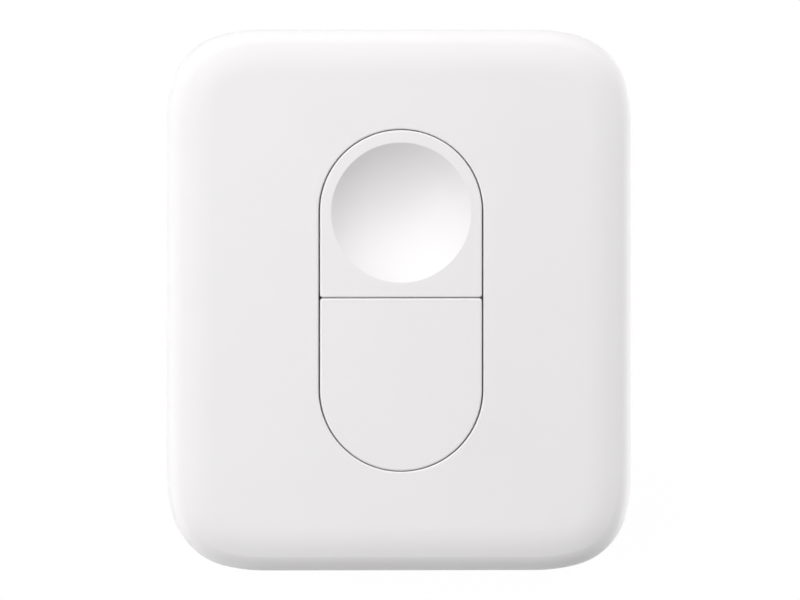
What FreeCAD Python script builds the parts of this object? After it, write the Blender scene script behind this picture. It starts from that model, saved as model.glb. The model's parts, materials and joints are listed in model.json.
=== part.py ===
"""Smart remote with two flush buttons in a soft-edged white case, on snap-dome switches and a coin cell.

Units are millimetres. The remote lies on its back: X is its width, Y its length towards the dished button,
and Z points out of its front. The origin is the centre of the flat back face.
"""

import FreeCAD
import Part
import math
import os

Vector = FreeCAD.Vector

# Plan shape of the case: each corner is a middle arc between two easing arcs
body_width = 36.8
body_length = 43.0
corner_radius = 5.4
corner_lead_radius = 13.0
corner_lead_angle = 15.0

# Soft edges of the front and the back: an easing arc, then the edge arc
front_edge_radius = 1.6
front_lead_radius = 7.0
front_lead_angle = 18.0
back_edge_radius = 1.3
back_lead_radius = 2.5
back_lead_angle = 20.0
seam_chamfer = 0.15

# Walls of the case
side_wall = 1.6
front_wall = 1.6
cover_floor = 1.3
cover_height = 2.5
cavity_edge_radius = 1.0

# The stack from the back cover to the buttons, which sets the depth of the case
pad_thickness = 0.3
cell_thickness = 5.0
contact_gap = 0.5
board_thickness = 0.8
switch_height = 1.5
post_length = 0.2
flange_thickness = 0.8

# Opening for the buttons, and the line that parts them
opening_width = 13.1
opening_length = 27.2
opening_edge_radius = 0.14
parting_offset = 0.21
parting_gap = 0.062
button_gap = 0.115
button_end_gap = 0.066

# Buttons
button_travel = 0.25
button_edge_radius = 0.14
button_corner_radius = 0.25
button_skin = 1.2
button_wall = 0.9
flange_reach = 0.9
dish_margin = 0.875
dish_offset = 0.07
dish_depth = 1.8
dish_skin = 0.75
dish_rim_radius = 0.12
post_diameter = 3.2
rib_thickness = 0.8
peg_diameter = 1.2
peg_side_offset = 1.6
peg_proud = 0.2

# Guide plate that keeps the buttons in the case and stops them
guide_thickness = 0.7
guide_margin = 2.45
guide_end_margin = 1.0
guide_corner_radius = 1.5
stop_clearance = 0.05
guide_peg_clearance = 0.05
guide_window_clearance = 0.3

# Heat stakes that hold the guide plate
stake_inset = 1.5
stake_boss_diameter = 2.6
stake_diameter = 1.2
stake_clearance = 0.05
stake_head_diameter = 2.2
stake_head_height = 0.35
stake_head_radius = 0.2

# Lip and snap hooks of the back cover
lip_clearance = 0.1
lip_thickness = 1.0
lip_height = 2.0
lip_chamfer = 0.2
hook_width = 3.6
hook_bite = 0.35
hook_height = 0.7
hook_land = 0.25
hook_drop = 0.3
hook_side_offset = 9.0
hook_end_offset = 7.0
hook_slot = 0.5
catch_clearance = 0.1
catch_end_clearance = 0.2
notch_width = 7.0
notch_depth = 1.1
notch_height = 0.7
notch_radius = 0.5
bay_rib_height = 0.8
bay_rib_count = 3
bay_rib_margin = 1.6

# Coin cell, which decides the well in the chassis
cell_diameter = 24.5
cell_sheet = 0.25
cell_rim_drop = 0.25
cell_rim_width = 0.25
cell_rim_radius = 0.12
cell_base_radius = 0.5
cell_cap_radius = 0.4
cell_skirt = 3.5
gasket_width = 0.45
cell_joint_clearance = 0.02
pad_diameter = 16.0

# Chassis round the cell
chassis_clearance = 0.2
chassis_plate = 1.0
well_clearance = 0.2
well_wall = 1.0
well_end_clearance = 0.7
well_floor_clearance = 0.4
cell_ledge = 0.8
cell_end_clearance = 0.05
finger_notch_width = 7.0
finger_notch_height = 2.2
window_margin = 0.9

# Screws through the chassis and the board into the front shell
pillar_lip_clearance = 0.27
screw_boss_diameter = 4.0
screw_length = 5.0
screw_crest_diameter = 1.7
screw_root_diameter = 1.24
screw_pitch = 0.6
screw_tip_length = 0.5
screw_head_diameter = 2.8
screw_head_height = 0.9
screw_head_radius = 0.4
screw_recess_width = 0.35
screw_recess_reach = 1.5
screw_recess_depth = 0.5
screw_hole_clearance = 0.1
pilot_allowance = 0.1
pilot_end_clearance = 0.3
pillar_diameter = 4.4
pillar_floor = 1.9
pillar_head_clearance = 0.15

# Circuit board and the locating pins of the chassis
board_clearance = 0.4
locating_pin_diameter = 1.0
locating_pin_clearance = 0.05
locating_pin_inset = 3.4
locating_pin_chamfer = 0.15

# Snap-dome switch
switch_body = 5.2
switch_corner_radius = 0.3
switch_cavity_clearance = 0.1
switch_floor = 0.4
switch_cover_sheet = 0.15
switch_cover_leg = 0.7
switch_cover_leg_width = 3.2
dome_diameter = 4.0
dome_rise = 0.3
dome_sheet = 0.06
plunger_diameter = 2.0
plunger_flange_diameter = 3.0
plunger_flange = 0.2
plunger_clearance = 0.1
plunger_edge_radius = 0.15
terminal_sheet = 0.2
terminal_width = 0.7
terminal_spacing = 3.0
terminal_rise = 0.45
terminal_bend = 0.2
terminal_root = 0.35
terminal_foot = 0.7

# Spring contacts of the cell
contact_clearance = 0.04
contact_bend = 0.3
positive_sheet = 0.2
positive_width = 5.0
positive_foot = 2.6
positive_hairpin = 1.0
positive_drop = 4.4
positive_touch = 2.9
positive_tip = 1.0
positive_lean = 0.25
negative_sheet = 0.15
negative_width = 3.0
negative_pad = 5.0
negative_arm = 4.4
negative_tip = 0.8

# Parts soldered on the board
chip_side = 5.0
chip_height = 0.9
chip_y = 5.2
chip_lead_count = 8
chip_lead_pitch = 0.5
chip_lead_width = 0.26
chip_lead_reach = 0.2
chip_lead_height = 0.2
crystal_length = 3.2
crystal_width = 2.5
crystal_height = 0.8
crystal_base_height = 0.3
crystal_lid_margin = 0.2
crystal_y = -1.9
inductor_length = 2.6
inductor_width = 2.2
inductor_height = 1.2
inductor_end = 0.5
inductor_y = 0.0
small_part_length = 1.0
small_part_width = 0.5
small_part_height = 0.5
small_part_end = 0.22
small_part_pitch_x = 1.5
small_part_pitch_y = 1.3
capacitor_rows = 3
capacitor_columns = 3
capacitor_y = 4.4
resistor_rows = 2
resistor_columns = 3
resistor_y = -5.6
led_length = 1.6
led_width = 0.8
led_height = 0.6
light_pipe_guide_gap = 1.15
light_pipe_diameter = 2.0
light_pipe_clearance = 0.02
light_pipe_boss_wall = 0.8
light_pipe_boss_height = 1.0
light_window_wall = 0.6
light_pipe_air = 0.1
antenna_width = 0.5
antenna_gap = 0.5
antenna_turns = 7
antenna_depth = 2.8
antenna_copper = 0.05
antenna_edge = 0.8
antenna_led_distance = 2.8

# Levels above the back face
z_cell = cover_floor + pad_thickness
z_cell_top = z_cell + cell_thickness
z_cell_rim = z_cell_top - cell_rim_drop
z_board = z_cell_top + contact_gap
z_board_top = z_board + board_thickness
z_switch_top = z_board_top + switch_height
z_flange = z_switch_top + post_length
z_flange_top = z_flange + flange_thickness
z_front = z_flange_top + front_wall
z_skin = z_front - button_skin
z_guide_top = z_flange - button_travel - stop_clearance
z_guide = z_guide_top - guide_thickness
z_stake_head = z_guide - stake_head_height
z_screw_seat = z_board - pillar_floor
z_screw_head = z_screw_seat - screw_head_height
z_screw_tip = z_screw_seat + screw_length
z_pillar = z_screw_head - pillar_head_clearance
z_lip = cover_height + lip_height
z_hook_top = z_lip - hook_drop
z_hook = z_hook_top - hook_height
z_well = cover_floor + well_floor_clearance
z_dome_floor = z_board_top + switch_floor
z_dome_top = z_dome_floor + dome_rise + dome_sheet
z_switch_body = z_switch_top - button_travel - stop_clearance - switch_cover_sheet
z_small_part = z_board_top + small_part_height
z_light_window = z_front - light_window_wall

# Places and sizes that several pieces share
half_width = body_width / 2
half_length = body_length / 2
lip_inset = side_wall + lip_clearance
lip_inner_inset = lip_inset + lip_thickness
catch_depth = hook_bite - lip_clearance + catch_end_clearance
board_inset = side_wall + board_clearance
switch_y = (opening_length - opening_width) / 2
button_width = opening_width - 2 * button_gap
button_length = opening_length - 2 * button_end_gap
dish_diameter = button_width - 2 * dish_margin
peg_x = button_width / 2 - peg_side_offset
peg_bore = peg_diameter + 2 * guide_peg_clearance
cell_radius = cell_diameter / 2
gasket_outer = cell_radius - cell_sheet - cell_joint_clearance
gasket_inner = gasket_outer - gasket_width
cap_outer = gasket_inner - cell_joint_clearance
well_radius = cell_radius + well_clearance
well_outer_radius = well_radius + well_wall
cell_y = -(half_length - lip_inner_inset - well_end_clearance - well_outer_radius)
bay_y = cell_y + well_outer_radius + bay_rib_margin
bay_end_y = half_length - lip_inner_inset - bay_rib_margin
guide_half_width = opening_width / 2 + guide_margin
guide_half_length = opening_length / 2 + guide_end_margin
guide_window = switch_body + 2 * guide_window_clearance
stake_x = guide_half_width - stake_inset
stake_y = guide_half_length - stake_inset
stake_bore = stake_diameter + 2 * stake_clearance
corner_step = corner_lead_radius - corner_radius
corner_centre_inset = corner_lead_radius - corner_step * math.cos(math.radians(corner_lead_angle))
pillar_edge_distance = lip_inner_inset + pillar_lip_clearance + pillar_diameter / 2
screw_inset = corner_centre_inset - (corner_radius - pillar_edge_distance) / math.sqrt(2)
screw_x = half_width - screw_inset
screw_y = half_length - screw_inset
screw_hole = screw_crest_diameter + 2 * screw_hole_clearance
screw_head_bore = screw_head_diameter + 2 * screw_hole_clearance
pilot_diameter = screw_root_diameter + 2 * pilot_allowance
locating_pin_x = half_width - locating_pin_inset
locating_bore = locating_pin_diameter + 2 * locating_pin_clearance
bay_x = (guide_half_width + half_width - board_inset) / 2
led_y = guide_half_length + light_pipe_guide_gap + light_pipe_diameter / 2
light_pipe_bore = light_pipe_diameter + 2 * light_pipe_clearance
positive_arm_y = cell_y + cell_radius + contact_clearance + positive_sheet / 2
positive_back_y = positive_arm_y + positive_hairpin

CORNERS = [(1, 1), (-1, 1), (-1, -1), (1, -1)]
BUTTON_SIDES = {"upper": 1, "lower": -1}

# Reach of cutting shapes past the surfaces that they open
over = 1.0


def box(x0, x1, y0, y1, z0, z1):
    """Box between two opposite corners."""
    return Part.makeBox(x1 - x0, y1 - y0, z1 - z0, Vector(x0, y0, z0))


def centred_box(x, y, length_x, length_y, z0, z1):
    """Upright box centred on a point of the plan."""
    return box(x - length_x / 2, x + length_x / 2, y - length_y / 2, y + length_y / 2, z0, z1)


def rod(x, y, z0, z1, diameter):
    """Upright cylinder between two levels."""
    return Part.makeCylinder(diameter / 2, z1 - z0, Vector(x, y, z0))


def turned(points, x=0.0, y=0.0):
    """Solid of revolution about an upright axis, from a closed outline of (radius, level) points."""
    outline = Part.makePolygon([Vector(r, 0, z) for r, z in points + points[:1]])
    solid = Part.Face(outline).revolve(Vector(0, 0, 0), Vector(0, 0, 1), 360)
    solid.translate(Vector(x, y, 0))
    return solid


def level_edges(shape, z, keep=lambda edge: True):
    """Edges that lie wholly at one level and pass the test keep."""
    found = []
    for edge in shape.Edges:
        ends = edge.BoundBox
        if max(abs(ends.ZMin - z), abs(ends.ZMax - z)) < 1e-4 and keep(edge):
            found.append(edge)
    return found


def upright_edges(shape):
    """Straight edges that run along Z."""
    return [e for e in shape.Edges if e.BoundBox.XLength < 1e-4 and e.BoundBox.YLength < 1e-4]


def joined(first, others):
    """One clean solid from pieces that touch or overlap."""
    return first.fuse(others).removeSplitter().Solids[0]


def arc_end(arc, angle):
    """Point at an angle in degrees on an arc, which is (centre x, centre y, radius, start, end)."""
    x, y, radius = arc[:3]
    return Vector(x + radius * math.cos(math.radians(angle)), y + radius * math.sin(math.radians(angle)), 0)


def body_arcs(inset=0.0):
    """The twelve arcs of the case's plan shape, counter-clockwise, moved inward by inset."""
    lead = math.radians(corner_lead_angle)
    reach = corner_centre_inset + corner_step * math.sin(lead)
    angles = [0, corner_lead_angle, 90 - corner_lead_angle, 90]
    radii = [corner_lead_radius, corner_radius, corner_lead_radius]
    arcs = []
    for quarter in range(4):
        half_x, half_y = (half_width, half_length) if quarter % 2 == 0 else (half_length, half_width)
        near = Vector(half_x - corner_lead_radius, half_y - reach, 0)
        middle = near + Vector(corner_step * math.cos(lead), corner_step * math.sin(lead), 0)
        far = Vector(half_x - reach, half_y - corner_lead_radius, 0)
        turn = FreeCAD.Rotation(Vector(0, 0, 1), 90 * quarter)
        for k, corner in enumerate((near, middle, far)):
            centre = turn.multVec(corner)
            start, end = (angle + 90 * quarter for angle in angles[k:k + 2])
            arcs.append((centre.x, centre.y, radii[k] - inset, start, end))
    return arcs


def pill_arcs(width, length):
    """The two half circles of a pill along Y, centred on the origin."""
    y = (length - width) / 2
    return [(0, y, width / 2, 0, 180), (0, -y, width / 2, 180, 360)]


def rectangle_arcs(half_x, half_y, radius):
    """The four corner arcs of a rounded rectangle, centred on the origin."""
    return [
        (sx * (half_x - radius), sy * (half_y - radius), radius, 90 * k, 90 * k + 90)
        for k, (sx, sy) in enumerate(CORNERS)
    ]


def closed_wire(arcs):
    """Wire through the arcs, with straight lines where they don't meet."""
    edges = []
    for k, arc in enumerate(arcs):
        start, middle, end = (arc_end(arc, a) for a in (arc[3], (arc[3] + arc[4]) / 2, arc[4]))
        edges.append(Part.Arc(start, middle, end).toShape())
        after = arcs[(k + 1) % len(arcs)]
        onward = arc_end(after, after[3])
        if end.distanceToPoint(onward) > 1e-6:
            edges.append(Part.makeLine(end, onward))
    return Part.Wire(Part.__sortEdges__(edges))


def prism(arcs, z0, z1):
    """Upright prism with the plan shape that the arcs give."""
    face = Part.Face(closed_wire(arcs))
    face.translate(Vector(0, 0, z0))
    return face.extrude(Vector(0, 0, z1 - z0))


def soft_edge_section(lead_radius, lead_angle, edge_radius):
    """Waste outside a soft edge, as a face: its X is the way out of the side and its Z out of the front."""
    angle = math.radians(lead_angle)
    side = math.radians(90)
    step = lead_radius - edge_radius
    reach = edge_radius + step * math.sin(angle)
    drop = lead_radius - step * math.cos(angle)

    def lead_point(a):
        return Vector(-reach + lead_radius * math.sin(a), 0, -lead_radius + lead_radius * math.cos(a))

    def edge_point(a):
        return Vector(-edge_radius + edge_radius * math.sin(a), 0, -drop + edge_radius * math.cos(a))

    edges = [
        Part.Arc(lead_point(0), lead_point(angle / 2), lead_point(angle)).toShape(),
        Part.Arc(edge_point(angle), edge_point((angle + side) / 2), edge_point(side)).toShape(),
    ]
    corners = [
        edge_point(side),
        Vector(over, 0, -drop),
        Vector(over, 0, over),
        Vector(-reach, 0, over),
        lead_point(0),
    ]
    edges += [Part.makeLine(a, b) for a, b in zip(corners, corners[1:])]
    return Part.Face(Part.Wire(Part.__sortEdges__(edges)))


def around_case(section, z):
    """The section carried round the case's plan shape at level z, one piece for each arc and line."""
    waste = []
    arcs = body_arcs()
    for k, arc in enumerate(arcs):
        centre = Vector(arc[0], arc[1], 0)
        radius, start, end = arc[2:]
        profile = section.copy()
        profile.translate(Vector(radius, 0, z))
        profile.rotate(Vector(0, 0, 0), Vector(0, 0, 1), start)
        profile.translate(centre)
        waste.append(profile.revolve(centre, Vector(0, 0, 1), end - start))
        after = arcs[(k + 1) % len(arcs)]
        here, onward = arc_end(arc, end), arc_end(after, after[3])
        if here.distanceToPoint(onward) > 1e-6:
            profile = section.copy()
            profile.rotate(Vector(0, 0, 0), Vector(0, 0, 1), end)
            profile.translate(here + Vector(0, 0, z))
            waste.append(profile.extrude(onward - here))
    return waste


def left_of(way):
    """Direction a quarter turn left of another in the YZ plane."""
    return Vector(0, -way.z, way.y)


def bent_strip(path, sheet, width, bend):
    """Strip of sheet metal, its width along X, bent along a path of (y, z) points at mid-sheet."""
    points = [Vector(0, y, z) for y, z in path]
    ways = [(b - a).normalize() for a, b in zip(points, points[1:])]
    edges = []
    ends = []
    for offset in (sheet / 2, -sheet / 2):
        last = points[0] + left_of(ways[0]) * offset
        ends.append(last)
        for point, into, onward in zip(points[1:-1], ways, ways[1:]):
            turn = math.atan2(into.y * onward.z - into.z * onward.y, into.dot(onward))
            hand = math.copysign(1, turn)
            centre = point - into * (bend * math.tan(abs(turn) / 2)) + left_of(into) * (hand * bend)
            halfway = (into + onward).normalize()
            spoke = hand * bend - offset
            start, middle, end = (centre - left_of(way) * spoke for way in (into, halfway, onward))
            edges.append(Part.makeLine(last, start))
            edges.append(Part.Arc(start, middle, end).toShape())
            last = end
        final = points[-1] + left_of(ways[-1]) * offset
        edges.append(Part.makeLine(last, final))
        ends.append(final)
    edges += [Part.makeLine(ends[0], ends[2]), Part.makeLine(ends[1], ends[3])]
    face = Part.Face(Part.Wire(Part.__sortEdges__(edges)))
    face.translate(Vector(-width / 2, 0, 0))
    return face.extrude(Vector(width, 0, 0))


def hook_places():
    """Places of the snap hooks: for each, a point on the outline and the angle that faces outward."""
    sides = [(half_width * s, hook_side_offset * t, 90 - 90 * s) for s, t in CORNERS]
    ends = [(hook_end_offset * t, half_length * s, 90 * s) for s, t in CORNERS]
    return [(Vector(x, y, 0), angle) for x, y, angle in sides + ends]


def facing_out(shape, place):
    """A shape drawn with +X outward and its origin on the outline, moved to a hook's place."""
    point, angle = place
    moved = shape.copy()
    moved.rotate(Vector(0, 0, 0), Vector(0, 0, 1), angle)
    moved.translate(point)
    return moved


def front_shell():
    """White front and sides of the case, with bosses for the screws, the guide plate and the light pipe."""
    shell = prism(body_arcs(), cover_height, z_front)
    shell = shell.makeChamfer(seam_chamfer, level_edges(shell, cover_height))
    section = soft_edge_section(front_lead_radius, front_lead_angle, front_edge_radius)
    shell = shell.cut(around_case(section, z_front))
    cavity = prism(body_arcs(side_wall), cover_height - over, z_flange_top)
    cavity = cavity.makeFillet(cavity_edge_radius, level_edges(cavity, z_flange_top))
    opening = prism(pill_arcs(opening_width, opening_length), z_flange_top - over, z_front + over)
    shell = shell.cut([cavity, opening])
    reach = opening_width / 2 + 1e-3
    rim = level_edges(shell, z_front, lambda e: max(e.BoundBox.XMax, -e.BoundBox.XMin) < reach)
    shell = shell.makeFillet(opening_edge_radius, rim)

    catch = box(
        -side_wall - over,
        -side_wall + catch_depth,
        -hook_width / 2 - catch_clearance,
        hook_width / 2 + catch_clearance,
        z_hook - catch_clearance,
        z_hook_top + catch_clearance,
    )
    shell = shell.cut([facing_out(catch, place) for place in hook_places()])

    added = []
    bores = []
    for sx, sy in CORNERS:
        x, y = sx * screw_x, sy * screw_y
        added.append(rod(x, y, z_board_top, z_flange_top, screw_boss_diameter))
        bores.append(rod(x, y, z_board_top - over, z_screw_tip + pilot_end_clearance, pilot_diameter))
        x, y = sx * stake_x, sy * stake_y
        added.append(rod(x, y, z_guide_top, z_flange_top, stake_boss_diameter))
        added.append(rod(x, y, z_stake_head, z_flange_top, stake_diameter))
        head = rod(x, y, z_stake_head, z_guide, stake_head_diameter)
        added.append(head.makeFillet(stake_head_radius, level_edges(head, z_stake_head)))
    z_boss = z_flange_top - light_pipe_boss_height
    added.append(rod(0, led_y, z_boss, z_flange_top, light_pipe_bore + 2 * light_pipe_boss_wall))
    bores.append(rod(0, led_y, z_boss - over, z_light_window, light_pipe_bore))
    return joined(shell, added).cut(bores).Solids[0]


def back_cover():
    """Snap-fit cover: its rim meets the front shell, and its lip and hooks hold inside it."""
    cover = prism(body_arcs(), 0, cover_height)
    cover = cover.makeChamfer(seam_chamfer, level_edges(cover, cover_height))
    section = soft_edge_section(back_lead_radius, back_lead_angle, back_edge_radius)
    section.rotate(Vector(0, 0, 0), Vector(1, 0, 0), 180)
    cover = cover.cut(around_case(section, 0))
    lip = prism(body_arcs(lip_inset), cover_floor, z_lip)
    lip = lip.makeChamfer(lip_chamfer, level_edges(lip, z_lip))
    cover = joined(cover, [lip])
    cover = cover.cut(prism(body_arcs(lip_inner_inset), cover_floor, z_lip + over))

    root = -lip_inset - lip_thickness / 2
    tip = -lip_inset + hook_bite
    z_land = z_hook + hook_land
    profile = [(root, z_hook), (tip, z_hook), (tip, z_land), (-lip_inset, z_hook_top), (root, z_hook_top)]
    outline = Part.makePolygon([Vector(x, -hook_width / 2, z) for x, z in profile + profile[:1]])
    nose = Part.Face(outline).extrude(Vector(0, hook_width, 0))
    slot = centred_box(-lip_inner_inset, 0, 2 * lip_inner_inset, hook_slot, cover_height, z_lip + over)
    slot_y = (hook_width + hook_slot) / 2
    noses = []
    slots = []
    for place in hook_places():
        noses.append(facing_out(nose, place))
        for y in (slot_y, -slot_y):
            beside = slot.copy()
            beside.translate(Vector(0, y, 0))
            slots.append(facing_out(beside, place))
    cover = joined(cover, noses).cut(slots)

    z_notch = cover_height - notch_height
    notch = centred_box(0, -half_length, notch_width, 2 * notch_depth, z_notch, cover_height + over)
    cover = cover.cut(notch.makeFillet(notch_radius, upright_edges(notch)))
    ribs = []
    for k in range(bay_rib_count):
        y = bay_y + (bay_end_y - bay_y) * k / (bay_rib_count - 1)
        ribs.append(centred_box(0, y, 2 * screw_x, rib_thickness, cover_floor, cover_floor + bay_rib_height))
    return joined(cover, ribs)


def battery_pad():
    """Foam disc on the cover that holds the cell still."""
    return rod(0, cell_y, cover_floor, z_cell, pad_diameter)


def button(name):
    """One button, with a post that pushes its switch and two pegs that slide in the guide plate."""
    side = BUTTON_SIDES[name]
    y = side * switch_y
    parting = parting_offset + side * parting_gap / 2
    inner_parting = parting + side * button_wall
    far = side * half_length

    def own_half(near, shape):
        low, high = sorted((near, far))
        return shape.common(box(-half_width, half_width, low, high, 0, z_front + over))

    cap = own_half(parting, prism(pill_arcs(button_width, button_length), z_flange, z_front))
    cap = cap.makeFillet(button_corner_radius, upright_edges(cap))
    cap = cap.makeFillet(button_edge_radius, level_edges(cap, z_front))
    reach = 2 * flange_reach
    flange = prism(pill_arcs(opening_width + reach, opening_length + reach), z_flange, z_flange_top)
    body = joined(cap, [own_half(parting, flange)])

    walls = 2 * button_wall
    hollow = prism(pill_arcs(button_width - walls, button_length - walls), z_flange - over, z_skin)
    hollow = own_half(inner_parting, hollow)
    dish_radius = (dish_diameter ** 2 / 4 + dish_depth ** 2) / (2 * dish_depth)
    dish_centre = Vector(0, y - side * dish_offset, z_front - dish_depth + dish_radius)
    dished = name == "upper"
    if dished:
        hollow = hollow.cut(Part.makeSphere(dish_radius + dish_skin, dish_centre))
    body = body.cut(hollow)

    mid_wall = button_wall / 2
    rib_y = (parting + side * mid_wall + side * (button_length / 2 - mid_wall)) / 2
    rib_length = 2 * abs(rib_y - parting) - button_wall
    inside = [
        rod(0, y, z_switch_top, z_skin, post_diameter),
        centred_box(0, y, button_width - button_wall, rib_thickness, z_flange, z_skin),
        centred_box(0, rib_y, rib_thickness, rib_length, z_flange, z_skin),
    ]
    for sx in (1, -1):
        inside.append(rod(sx * peg_x, y, z_guide - peg_proud, z_skin, peg_diameter))
    body = joined(body, inside)
    if dished:
        body = body.cut(Part.makeSphere(dish_radius, dish_centre))
        rim = level_edges(body, z_front, lambda e: abs(e.BoundBox.XLength - dish_diameter) < 1e-2)
        body = body.makeFillet(dish_rim_radius, rim)
    return body.Solids[0]


def guide_plate():
    """Plate heat-staked behind the buttons, with windows for the switches and holes for the pegs."""
    outline = rectangle_arcs(guide_half_width, guide_half_length, guide_corner_radius)
    plate = prism(outline, z_guide, z_guide_top)
    z_low, z_high = z_guide - over, z_guide_top + over
    holes = []
    for side in BUTTON_SIDES.values():
        y = side * switch_y
        window = centred_box(0, y, guide_window, guide_window, z_low, z_high)
        holes.append(window.makeFillet(switch_corner_radius, upright_edges(window)))
        holes += [rod(sx * peg_x, y, z_low, z_high, peg_bore) for sx in (1, -1)]
    holes += [rod(sx * stake_x, sy * stake_y, z_low, z_high, stake_bore) for sx, sy in CORNERS]
    return plate.cut(holes).Solids[0]


def chassis():
    """Plate under the board with the well for the cell, pillars for the screws and pins for the board."""
    plate = prism(body_arcs(side_wall + chassis_clearance), z_board - chassis_plate, z_board)
    well = rod(0, cell_y, z_well, z_board, 2 * well_outer_radius)
    pillars = [rod(sx * screw_x, sy * screw_y, z_pillar, z_board, pillar_diameter) for sx, sy in CORNERS]
    body = joined(plate, [well] + pillars)
    z_low, z_high = z_well - over, z_board + over
    cuts = [
        rod(0, cell_y, z_low, z_cell_rim + cell_end_clearance, 2 * well_radius),
        rod(0, cell_y, z_well, z_high, 2 * (well_radius - cell_ledge)),
    ]
    for sx, sy in CORNERS:
        x, y = sx * screw_x, sy * screw_y
        cuts.append(rod(x, y, z_low, z_high, screw_hole))
        cuts.append(rod(x, y, z_low, z_screw_seat, screw_head_bore))
    window_half = positive_width / 2 + window_margin
    window_end = positive_back_y + positive_foot + window_margin
    cuts.append(box(-window_half, window_half, cell_y, window_end, z_low, z_high))
    notch_reach = 2 * (well_outer_radius + over)
    cuts.append(centred_box(0, cell_y, notch_reach, finger_notch_width, z_low, z_well + finger_notch_height))
    body = body.cut(cuts)
    pins = []
    for sx in (1, -1):
        pin = rod(sx * locating_pin_x, 0, z_board - chassis_plate, z_board_top, locating_pin_diameter)
        pins.append(pin.makeChamfer(locating_pin_chamfer, level_edges(pin, z_board_top)))
    return joined(body, pins)


def screw():
    """Self-tapping screw with ridges for its thread and a cross recess in its head."""
    crest = screw_crest_diameter / 2
    root = screw_root_diameter / 2
    head = screw_head_diameter / 2
    z_tip_start = z_screw_tip - screw_tip_length
    points = [
        (0, z_screw_head),
        (head - screw_head_radius, z_screw_head),
        (head, z_screw_head + screw_head_radius),
        (head, z_screw_seat),
        (root, z_screw_seat),
    ]
    for k in range(int((z_tip_start - z_board_top) / screw_pitch), 0, -1):
        z = z_tip_start - k * screw_pitch
        points += [(root, z), (crest, z + screw_pitch / 2)]
    points += [(root, z_tip_start), (root / 2, z_screw_tip), (0, z_screw_tip)]
    recess = []
    bottom = z_screw_head + screw_recess_depth
    for slot in ((screw_recess_reach, screw_recess_width), (screw_recess_width, screw_recess_reach)):
        recess.append(centred_box(0, 0, *slot, z_screw_head - over, bottom))
    return turned(points).cut(recess).Solids[0]


def screws():
    """The four screws at the corners."""
    group = []
    for sx, sy in CORNERS:
        copy = screw()
        copy.translate(Vector(sx * screw_x, sy * screw_y, 0))
        group.append(copy)
    return Part.makeCompound(group)


def circuit_board():
    """Board with holes for the screws and the locating pins."""
    board = prism(body_arcs(board_inset), z_board, z_board_top)
    z_low, z_high = z_board - over, z_board_top + over
    holes = [rod(sx * screw_x, sy * screw_y, z_low, z_high, screw_hole) for sx, sy in CORNERS]
    holes += [rod(sx * locating_pin_x, 0, z_low, z_high, locating_bore) for sx in (1, -1)]
    return board.cut(holes).Solids[0]


def switch_base(y):
    """Moulded base of a switch, with the round cavity for its dome."""
    base = centred_box(0, y, switch_body, switch_body, z_board_top, z_switch_body)
    base = base.makeFillet(switch_corner_radius, upright_edges(base))
    cavity = dome_diameter + 2 * switch_cavity_clearance
    return base.cut(rod(0, y, z_dome_floor, z_switch_body + over, cavity)).Solids[0]


def switch_terminals(y):
    """Four bent terminals from the sides of a switch down to the board."""
    start = switch_body / 2
    knee = start + terminal_root
    ankle = knee + terminal_root
    z_foot = z_board_top + terminal_sheet / 2
    z_root = z_board_top + terminal_rise
    path = [(start, z_root), (knee, z_root), (ankle, z_foot), (ankle + terminal_foot, z_foot)]
    terminal = bent_strip(path, terminal_sheet, terminal_width, terminal_bend)
    group = []
    for angle in (90, -90):
        for offset in (-terminal_spacing / 2, terminal_spacing / 2):
            copy = terminal.copy()
            copy.translate(Vector(offset, 0, 0))
            copy.rotate(Vector(0, 0, 0), Vector(0, 0, 1), angle)
            copy.translate(Vector(0, y, 0))
            group.append(copy)
    return Part.makeCompound(group)


def switch_dome(y):
    """Thin snap dome that stands on the floor of the switch's cavity."""
    radius = (dome_diameter ** 2 / 4 + dome_rise ** 2) / (2 * dome_rise)
    centre = Vector(0, y, z_dome_floor + dome_rise - radius)
    ball = Part.makeSphere(radius + dome_sheet, centre).cut(Part.makeSphere(radius, centre))
    return ball.common(rod(0, y, z_dome_floor, z_dome_top + over, dome_diameter)).Solids[0]


def switch_plunger(y):
    """Round plunger with a flange that the cover plate keeps in."""
    stem = rod(0, y, z_dome_top, z_switch_top, plunger_diameter)
    stem = stem.makeFillet(plunger_edge_radius, level_edges(stem, z_switch_top))
    return joined(stem, [rod(0, y, z_dome_top, z_dome_top + plunger_flange, plunger_flange_diameter)])


def switch_cover(y):
    """Sheet metal plate over a switch, with two legs down its sides."""
    z_top = z_switch_body + switch_cover_sheet
    plate = centred_box(0, y, switch_body, switch_body, z_switch_body, z_top)
    plate = plate.makeFillet(switch_corner_radius, upright_edges(plate))
    legs = []
    for side in (1, -1):
        leg_y = y + side * (switch_body + switch_cover_sheet) / 2
        z_leg = z_switch_body - switch_cover_leg
        legs.append(centred_box(0, leg_y, switch_cover_leg_width, switch_cover_sheet, z_leg, z_top))
    bore = plunger_diameter + 2 * plunger_clearance
    return joined(plate, legs).cut(rod(0, y, z_switch_body - over, z_top + over, bore)).Solids[0]


def cell_can():
    """Steel can of the cell, closed at the back, with its rim rolled in over the gasket."""
    bore_radius = cell_radius - cell_sheet
    z_floor = z_cell + cell_sheet
    can = rod(0, cell_y, z_cell, z_cell_rim, cell_diameter)
    can = can.makeFillet(cell_base_radius, level_edges(can, z_cell))
    can = can.makeFillet(cell_rim_radius, level_edges(can, z_cell_rim))
    bore = rod(0, cell_y, z_floor, z_cell_rim - cell_sheet, 2 * bore_radius)
    bore = bore.makeFillet(cell_base_radius - cell_sheet, level_edges(bore, z_floor))
    mouth = rod(0, cell_y, z_floor, z_cell_rim + over, 2 * (bore_radius - cell_rim_width))
    return can.cut(joined(bore, [mouth])).Solids[0]


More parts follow.
